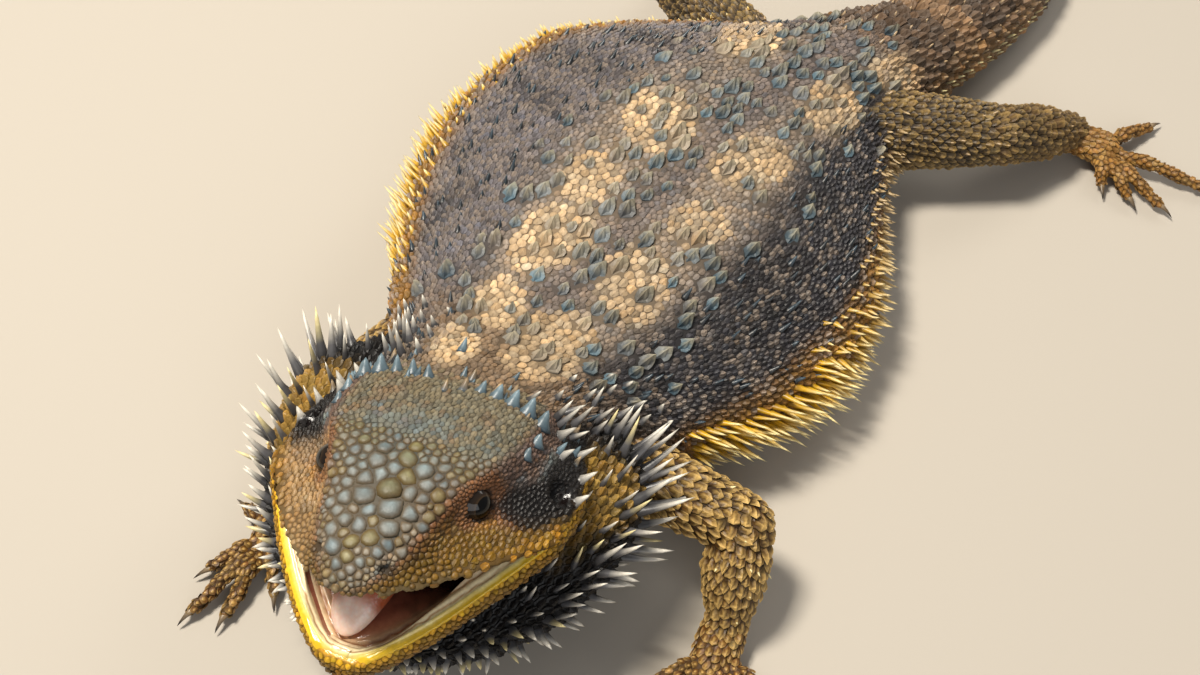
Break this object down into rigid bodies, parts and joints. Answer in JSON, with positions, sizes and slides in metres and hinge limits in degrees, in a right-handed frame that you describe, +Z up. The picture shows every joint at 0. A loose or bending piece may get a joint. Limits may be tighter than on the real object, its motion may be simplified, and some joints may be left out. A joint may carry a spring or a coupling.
{
  "type": "bearded dragon",
  "caption": "Life-size still model of an adult bearded dragon resting flat on the floor, mouth open and black spiny beard spread.",
  "frame": {"origin": "the resting plane under the middle of the trunk, on the flat of the belly, Z = 0 at the floor", "axes": "+Z up from the floor; +Y along the body from the head toward the tail, so the head faces -Y; +X toward the animal's left side"},
  "size_m": [0.2154, 0.4681, 0.0644],
  "materials": {
    "head_scales": "dry horny scales",
    "body_scales": "dry keeled scales, matt",
    "limb_scales": "dry keeled scales, matt",
    "beard_scales": "dry scales, black",
    "mouth": "moist lining",
    "eye": "polished, dark",
    "claw": "horn, semi-gloss"
  },
  "bodies": {
    "root": {"head": "head_scales", "lower_jaw": "head_scales", "tongue": "mouth", "eye_left": "eye", "eye_right": "eye", "beard": "beard_scales", "neck": "body_scales", "torso": "body_scales", "tail_1": "body_scales", "tail_2": "body_scales", "tail_3": "body_scales", "tail_4": "body_scales", "left_upper_arm": "limb_scales", "left_forearm": "limb_scales", "left_hand": "limb_scales", "left_thigh": "limb_scales", "left_shank": "limb_scales", "left_foot": "limb_scales", "right_upper_arm": "limb_scales", "right_forearm": "limb_scales", "right_hand": "limb_scales", "right_thigh": "limb_scales", "right_shank": "limb_scales", "right_foot": "limb_scales", "claw_left_arm_1": "claw", "claw_left_arm_2": "claw", "claw_left_arm_3": "claw", "claw_left_arm_4": "claw", "claw_left_arm_5": "claw", "claw_right_arm_1": "claw", "claw_right_arm_2": "claw", "claw_right_arm_3": "claw", "claw_right_arm_4": "claw", "claw_right_arm_5": "claw", "claw_left_leg_1": "claw", "claw_left_leg_2": "claw", "claw_left_leg_3": "claw", "claw_left_leg_4": "claw", "claw_left_leg_5": "claw", "claw_right_leg_1": "claw", "claw_right_leg_2": "claw", "claw_right_leg_3": "claw", "claw_right_leg_4": "claw", "claw_right_leg_5": "claw"}
  },
  "joints": []
}
